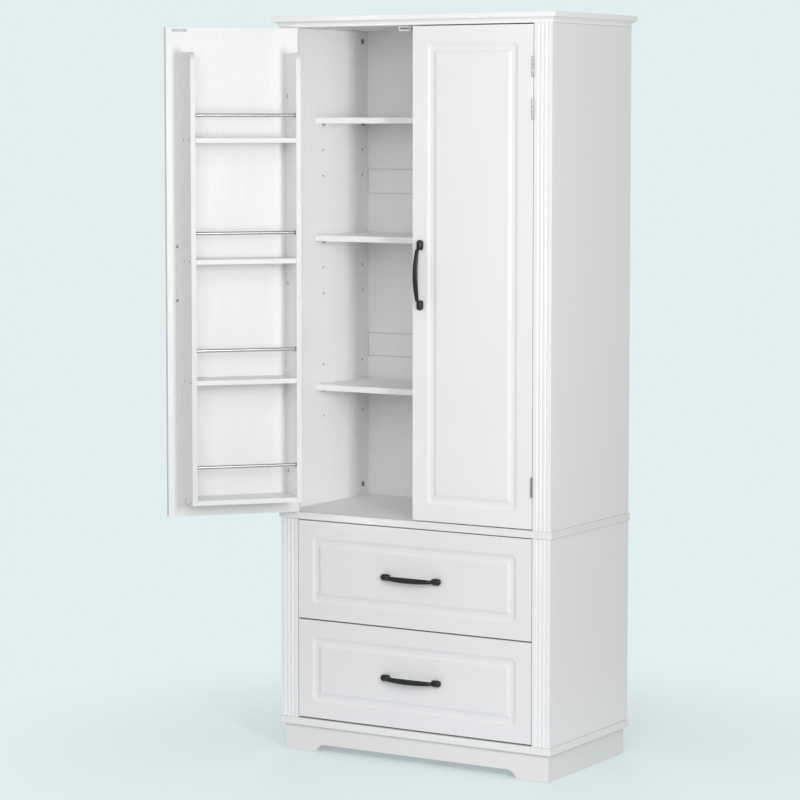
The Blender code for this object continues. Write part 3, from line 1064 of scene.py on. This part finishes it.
def addKnuckles(shape, axisX, axisY, low, high, first):
    values = hingeValues
    pitch = (high.z - low.z) / values["knuckles"]
    radius = values["barrelRadius"]
    length = pitch - values["knuckleGap"]
    for index in range(first, values["knuckles"], 2):
        foot = (axisX, axisY, low.z + pitch * index + values["knuckleGap"] / 2)
        bevel = 0.0003
        profile = ((0, radius - bevel), (bevel, radius), (length - bevel, radius), (length, radius - bevel))
        addTurned(shape, profile, foot, (0, 0, 1))


def makeHinges():
    values = hingeValues
    for word, sign in sideSign.items():
        axisX, axisY, _ = joints[word + "_door_hinge"]["pos_m"]
        doorLow, doorHigh = nodeBox(word + "_door")
        doorEdge = max(abs(doorLow.x), abs(doorHigh.x))
        for index in (1, 2, 3):
            node = f"{word}_hinge_{index}"
            low, high = nodeBox(node)
            middleZ = (low.z + high.z) / 2
            leafMiddle = (abs(low.x) + abs(high.x)) / 2
            leafInner, leafOuter = leafMiddle - 0.0005, leafMiddle + 0.0005
            shape = bmesh.new()
            xs = sorted((sign * leafInner, sign * leafOuter))
            addBoard(shape, (xs[0], axisY, low.z), (xs[1], high.y, high.z), 0.0003, 2)
            addKnuckles(shape, axisX, axisY, low, high, 0)
            tip = values["tipRadius"]
            for end, direction in ((low.z, -1), (high.z, 1)):
                profile = [(-0.002, tip * 0.6)]
                turns = [pi / 2 * step / 5 for step in range(6)]
                profile += [(0.0009 * sin(turn), tip * cos(turn) + 0.0001) for turn in turns]
                addTurned(shape, profile, (axisX, axisY, end - direction * 0.0002), (0, 0, direction), 20)
            addPiece(node + "_frame_leaf", shape, [nickelUpright], "cabinet", [node])

            shape = bmesh.new()
            xs = sorted((sign * (doorEdge + values["leafGap"]), sign * (leafInner - values["leafGap"])))
            far = doorLow.y + values["doorLeafDepth"]
            addBoard(shape, (xs[0], axisY, low.z + 0.0004), (xs[1], far, high.z - 0.0004), 0.0002, 2)
            addKnuckles(shape, axisX, axisY, low, high, 1)
            for offset in values["screwHeights"]:
                place = (sign * (leafInner - values["leafGap"] * 2), doorLow.y + 0.009, middleZ + offset)
                addScrew(shape, place, (sign, 0, 0), values["screwRadius"], values["leafGap"], 0.0002)
            addPiece(node + "_door_leaf", shape, [nickelUpright], word + "_door")


makeHinges()


# Magnetic catches under the top board, and their strike plates on the doors

catchValues = {
    "halfWidth": 0.018,
    "earThickness": 0.003,
    "poleHeight": 0.0026,
    "recess": 0.0010,  # of the housing's face behind the poles
    "plateHalfWidth": 0.019,
    "plateHeight": 0.0070,
    "plateMiddle": 1.8035,
    "plateFromHinge": 0.300,
    "plateThickness": 0.0010,
    "plateProud": 0.0003,  # let into the door, so that it clears the poles when shut
}


def makeCatches():
    values = catchValues
    for word, sign in sideSign.items():
        node = "magnetic_catch_" + word
        low, high = nodeBox(node)
        middle = (low.x + high.x) / 2
        half = values["halfWidth"]
        shape = bmesh.new()
        faceY = low.y + values["recess"]
        addBoard(shape, (middle - half, faceY, low.z), (middle + half, high.y, high.z - 0.0002), 0.0012)
        earLow = (low.x, low.y + 0.003, high.z - values["earThickness"])
        addBoard(shape, earLow, (high.x, high.y - 0.003, high.z), 0.0008)
        addPiece(node + "_housing", shape, [greyAbs], "cabinet", [node])

        shape = bmesh.new()
        for z in (low.z + 0.0030, low.z + 0.0078):
            poleLow = (middle - half + 0.004, low.y + 0.0003, z)
            poleHigh = (middle + half - 0.004, low.y + 0.008, z + values["poleHeight"])
            addBoard(shape, poleLow, poleHigh, 0.0003, 2)
        addPiece(node + "_poles", shape, [nickelAcross], "cabinet")

        shape = bmesh.new()
        addBoard(
            shape, (middle - half + 0.0045, low.y + 0.0007, low.z + 0.0057),
            (middle + half - 0.0045, low.y + 0.008, low.z + 0.0077), 0.0002, 1,
        )
        addPiece(node + "_magnet", shape, [darkNylon], "cabinet")

        shape = bmesh.new()
        for x in (low.x + 0.0028, high.x - 0.0028):
            place = (x, (low.y + high.y) / 2, high.z - values["earThickness"])
            addScrew(shape, place, (0, 0, -1), 0.0021, 0.0009)
        addPiece(node + "_screws", shape, [zincCam], "cabinet")

        doorLow, doorHigh = nodeBox(word + "_door")
        x = joints[word + "_door_hinge"]["pos_m"][0] - sign * values["plateFromHinge"]
        shape = bmesh.new()
        plateY = doorHigh.y + values["plateProud"]
        plateZ = values["plateMiddle"] - values["plateHeight"] / 2
        plateLow = (x - values["plateHalfWidth"], plateY - values["plateThickness"], plateZ)
        plateHigh = (x + values["plateHalfWidth"], plateY, plateZ + values["plateHeight"])
        addBoard(shape, plateLow, plateHigh, 0.0003, 2)
        for side in (-1, 1):
            place = (x + side * 0.012, plateHigh[1], values["plateMiddle"])
            addScrew(shape, place, (0, 1, 0), 0.0022, 0.00015)
        addPiece(word + "_door_strike_plate", shape, [zincPlate], word + "_door")


makeCatches()
print("hinges and catches made")


# Racks inside the doors

rackValues = {
    "cornerRadius": 0.020,
    "cornerSteps": 12,
    "rodRadius": 0.0040,
    "rodFirst": 0.741,
    "rodPitch": 0.2855,
    "rodBehindEdge": 0.010,
    "cupRadius": 0.0052,
    "cupLength": 0.0022,
    "screwRadius": 0.0034,
    "screwsFromDoor": (0.026, 0.084),
    "fixingHeights": (0.718, 1.184, 1.644),
    "fixingFromDoor": 0.020,
    "fixingRadius": 0.0052,
}


def makeRack(word):
    values = rackValues
    sign = sideSign[word]
    body = word + "_door"
    hingeLow, hingeHigh = nodeBox(word + "_rack_hinge_side")
    freeLow, freeHigh = nodeBox(word + "_rack_free_side")
    shelfNodes = [f"{word}_rack_shelf_{index}" for index in (1, 2, 3, 4)]
    for node, low, high in (("hinge_side", hingeLow, hingeHigh), ("free_side", freeLow, freeHigh)):
        radius = values["cornerRadius"]
        outline = [(low.y, low.z), (high.y, low.z)]
        for step in range(values["cornerSteps"] + 1):
            angle = pi / 2 * step / values["cornerSteps"]
            outline.append((high.y - radius * (1 - cos(angle)), high.z - radius * (1 - sin(angle))))
        outline.append((low.y, high.z))
        shape = bmesh.new()
        addSlab(shape, outline, "x", low.x, high.x, ease)
        for face in shape.faces:
            centre = face.calc_center_median()
            if low.x + 0.001 < centre.x < high.x - 0.001:
                face.material_index = 1
        name = f"{word}_rack_{node}"
        addPiece(name + "_board", shape, [melamineSide, edgeBand], body, [name])
    for node in shelfNodes:
        low, high = nodeBox(node)
        shape = bmesh.new()
        addBoard(shape, low, high, ease)
        addPiece(node + "_board", shape, [melamineRack], body, [node])

    # rods between the side boards, each end in a small cup
    inner = sorted((hingeLow.x, hingeHigh.x, freeLow.x, freeHigh.x))[1:3]
    rodY = hingeHigh.y - values["rodBehindEdge"]
    for index in range(4):
        z = values["rodFirst"] + values["rodPitch"] * index
        shape = bmesh.new()
        length = inner[1] - inner[0]
        radius = values["rodRadius"]
        addTurned(shape, ((0.0004, radius), (length - 0.0004, radius)), (inner[0], rodY, z), (1, 0, 0), 28)
        addPiece(f"{word}_rack_rod_{index + 1}", shape, [nickelAcross], body)
        shape = bmesh.new()
        cup, deep = values["cupRadius"], values["cupLength"]
        profile = (
            (0.0001, cup), (deep * 0.6, cup), (deep * 0.9, cup - 0.0004), (deep, cup - 0.001),
            (deep, radius + 0.0001), (0.0005, radius + 0.0001),
        )
        addTurned(shape, profile, (inner[0], rodY, z), (1, 0, 0), 28)
        addTurned(shape, profile, (inner[1], rodY, z), (-1, 0, 0), 28)
        addPiece(f"{word}_rack_rod_{index + 1}_cups", shape, [darkNylon], body)

    # screws through the side boards into the shelves, and the fixings that hold the rack
    shape = bmesh.new()
    for low, high, outward in ((hingeLow, hingeHigh, sign), (freeLow, freeHigh, -sign)):
        outer = high.x if outward > 0 else low.x
        for node in shelfNodes:
            shelfLow, shelfHigh = nodeBox(node)
            for distance in values["screwsFromDoor"]:
                place = (outer, low.y + distance, (shelfLow.z + shelfHigh.z) / 2)
                addScrew(shape, place, (outward, 0, 0), values["screwRadius"], 0.0003)
        innerX = low.x if outward > 0 else high.x
        for z in values["fixingHeights"]:
            place = (innerX, low.y + values["fixingFromDoor"], z)
            addScrew(shape, place, (-outward, 0, 0), values["fixingRadius"], 0.0004)
    addPiece(word + "_rack_screws", shape, [zincCam], body)


for word in sideSign:
    makeRack(word)
print("racks made")


# Drawer boxes and slides

drawerValues = {
    "side": 0.012,
    "railThickness": 0.0012,
    "memberHeight": 0.0285,
    "memberReach": 0.0085,
    "memberLength": 0.320,
    "railScrewRadius": 0.0034,
}


def makeDrawer(number):
    values = drawerValues
    node = f"drawer_{number}_box"
    body = f"drawer_{number}"
    low, high = nodeBox(node)
    boards = {
        "left": ((low.x, low.y, low.z), (low.x + values["side"], high.y, high.z)),
        "right": ((high.x - values["side"], low.y, low.z), (high.x, high.y, high.z)),
        "back": (
            (low.x + values["side"] + 0.0002, high.y - values["side"], low.z),
            (high.x - values["side"] - 0.0002, high.y, high.z),
        ),
    }
    for word, (boardLow, boardHigh) in boards.items():
        shape = bmesh.new()
        addBoard(shape, boardLow, boardHigh, ease)
        finish = melamineAcross if word == "back" else melamineDeep
        addPiece(f"{node}_{word}", shape, [finish], body, [node])
    bottom = f"drawer_{number}_bottom"
    bottomLow, bottomHigh = nodeBox(bottom)
    shape = bmesh.new()
    addBoard(shape, bottomLow, bottomHigh, 0.0003, 2)
    addPiece(bottom + "_board", shape, [hardboard], body, [bottom])


def channelOutline(web, lips, low, high, thickness):
    # a rolled channel in section: (x, z) points, with its open side at lips
    toward = 1 if lips > web else -1
    bend = 0.0012
    outline = []
    for offset in (0.0, thickness):
        radius = bend + (thickness if offset == 0 else 0)
        inset = offset
        part = [(lips, low + inset)]
        for step in range(5):
            angle = pi / 2 * step / 4
            x = web + toward * (inset + radius * (1 - sin(angle)))
            part.append((x, low + inset + radius * (1 - cos(angle))))
        for step in range(5):
            angle = pi / 2 * step / 4
            x = web + toward * (inset + radius * (1 - cos(angle)))
            part.append((x, high - inset - radius * (1 - sin(angle))))
        part.append((lips, high - inset))
        outline.append(part)
    return outline[0] + list(reversed(outline[1]))


def makeSlides(number):
    values = drawerValues
    boxHigh = nodeBox(f"drawer_{number}_box")[1]
    for word, sign in sideSign.items():
        node = f"drawer_{number}_runner_{word}"
        low, high = nodeBox(node)
        outer = sign * max(abs(low.x), abs(high.x))
        inner = sign * min(abs(low.x), abs(high.x))
        thickness = values["railThickness"]
        shape = bmesh.new()
        addSlab(shape, channelOutline(outer, inner, low.z, high.z, thickness), "y", low.y, high.y, 0)
        for share in (0.12, 0.5, 0.88):
            place = (outer - sign * thickness, low.y + (high.y - low.y) * share, (low.z + high.z) / 2)
            addScrew(shape, place, (-sign, 0, 0), values["railScrewRadius"], 0.0007)
        addPiece(node + "_rail", shape, [zincRail], "cabinet", [node])

        # the drawer's own member, a smaller channel that runs inside the cabinet's
        web = sign * (boxHigh.x + 0.0002)
        lips = web + sign * values["memberReach"]
        middle = (low.z + high.z) / 2
        memberLow, memberHigh = middle - values["memberHeight"] / 2, middle + values["memberHeight"] / 2
        start = low.y + 0.001
        shape = bmesh.new()
        outline = channelOutline(web, lips, memberLow, memberHigh, thickness)
        addSlab(shape, outline, "y", start, start + values["memberLength"], 0)
        for share in (0.08, 0.5, 0.9):
            place = (web + sign * thickness, start + values["memberLength"] * share, middle)
            addScrew(shape, place, (sign, 0, 0), values["railScrewRadius"], 0.0007)
        addPiece(f"drawer_{number}_member_{word}", shape, [zincRail], f"drawer_{number}")


for number in (1, 2):
    makeDrawer(number)
    makeSlides(number)
print("drawer boxes and slides made")


# Studio: a pale floor that fades out into the backdrop, soft lamps, and the camera

studioValues = {
    "backdrop": "#e2eff0",
    "floor": "#c6d1d2",
    "floorGlow": 0.31,  # the floor's own light: as pale as the backdrop, and it lifts the plinth
    "floorRadius": 4.0,
    "fadeStart": 0.3,
    "fadeEnd": 1.4,
    "fill": 0.48,  # strength of the even light from all round
    "fillColour": "#ffffff",
}
lampValues = {
    # place, what it points at, width, height, watts, spread of the beam in degrees;
    # the watts were solved for by least squares over candidate lamps, then adjusted
    "sideLamp": ((2.39, -2.21, 1.45), (-0.2, -0.3, 1.1), 0.34, 1.0, 38, 180),
    "highLamp": ((1.83, -3.15, 3.18), (0.0, -0.1, 0.95), 0.9, 0.9, 10, 180),
    "wideLamp": ((1.46, -3.91, 1.96), (0.0, -0.1, 0.95), 1.5, 1.5, 34, 180),
    "leftLamp": ((-2.03, -3.61, 2.04), (0.0, -0.1, 0.95), 1.5, 1.5, 9, 180),
    "shelfLamp": ((2.33, -2.34, 1.2), (-0.37, -0.06, 1.2), 0.22, 1.25, 0.19, 3),
    # shelfLamp, above, is a narrow beam onto the left panel inside the cupboard
    "backLamp": ((-2.2, 3.4, 2.4), (0.0, 0.0, 0.95), 1.5, 1.5, 26, 180),
}
cameraValues = {
    # place, turn, tilt and lens come from a least-squares fit of the view
    "place": (3.691, -6.280, 1.583),
    "turn": 31.513,
    "tilt": 4.819,
    "lens": 131.76,
    "shift": -0.04,
}


def makeFloor():
    values = studioValues
    shape = bmesh.new()
    bmesh.ops.create_circle(shape, cap_ends=True, segments=96, radius=values["floorRadius"])
    mesh = bpy.data.meshes.new("studioFloor")
    shape.to_mesh(mesh)
    shape.free()
    floor = bpy.data.objects.new("studioFloor", mesh)
    floor.location.z = -0.0005
    bpy.context.scene.collection.objects.link(floor)
    finish, tree, shader = startFinish("paleFloor", values["floor"], 0.9, ior=1.4)
    shader.inputs["Emission Color"].default_value = hexColour(values["backdrop"])
    shader.inputs["Emission Strength"].default_value = values["floorGlow"]
    place = addNode(tree, "ShaderNodeTexCoord")
    distance = addNode(
        tree, "ShaderNodeVectorMath", {"operation": "LENGTH"}, links={0: place.outputs["Object"]}
    )
    fade = addNode(
        tree, "ShaderNodeMapRange",
        {"interpolation_type": "SMOOTHSTEP"},
        {"From Min": values["fadeStart"], "From Max": values["fadeEnd"]},
        {"Value": distance.outputs["Value"]},
    )
    clear = addNode(tree, "ShaderNodeBsdfTransparent")
    mixed = addNode(
        tree, "ShaderNodeMixShader",
        links={0: fade.outputs["Result"], 1: shader.outputs[0], 2: clear.outputs[0]},
    )
    tree.links.new(mixed.outputs[0], tree.nodes["Material Output"].inputs["Surface"])
    mesh.materials.append(finish)


def makeBackdrop():
    values = studioValues
    world = bpy.data.worlds.new("studio")
    world.use_nodes = True
    bpy.context.scene.world = world
    tree = world.node_tree
    seen = tree.nodes["Background"]
    seen.inputs["Color"].default_value = hexColour(values["backdrop"])
    light = addNode(
        tree, "ShaderNodeBackground",
        values={"Color": hexColour(values["fillColour"]), "Strength": values["fill"]},
    )
    path = addNode(tree, "ShaderNodeLightPath")
    mixed = addNode(
        tree, "ShaderNodeMixShader",
        links={0: path.outputs["Is Camera Ray"], 1: light.outputs[0], 2: seen.outputs[0]},
    )
    tree.links.new(mixed.outputs[0], tree.nodes["World Output"].inputs["Surface"])


def makeLamps():
    for name, (place, aim, width, height, watts, spread) in lampValues.items():
        lamp = bpy.data.lights.new(name, "AREA")
        lamp.shape = "RECTANGLE"
        lamp.size = width
        lamp.size_y = height
        lamp.energy = watts
        lamp.spread = radians(spread)
        holder = bpy.data.objects.new(name, lamp)
        holder.location = place
        holder.rotation_euler = (Vector(aim) - Vector(place)).to_track_quat("-Z", "Y").to_euler()
        bpy.context.scene.collection.objects.link(holder)


def makeCamera():
    values = cameraValues
    camera = bpy.data.cameras.new("camera")
    camera.lens = values["lens"]
    camera.shift_y = values["shift"]
    holder = bpy.data.objects.new("camera", camera)
    holder.location = values["place"]
    holder.rotation_euler = (radians(90 - values["tilt"]), 0.0, radians(values["turn"]))
    bpy.context.scene.collection.objects.link(holder)
    bpy.context.scene.camera = holder


makeFloor()
makeBackdrop()
makeLamps()
makeCamera()
bpy.context.scene.view_settings.view_transform = "Standard"
print("studio made")
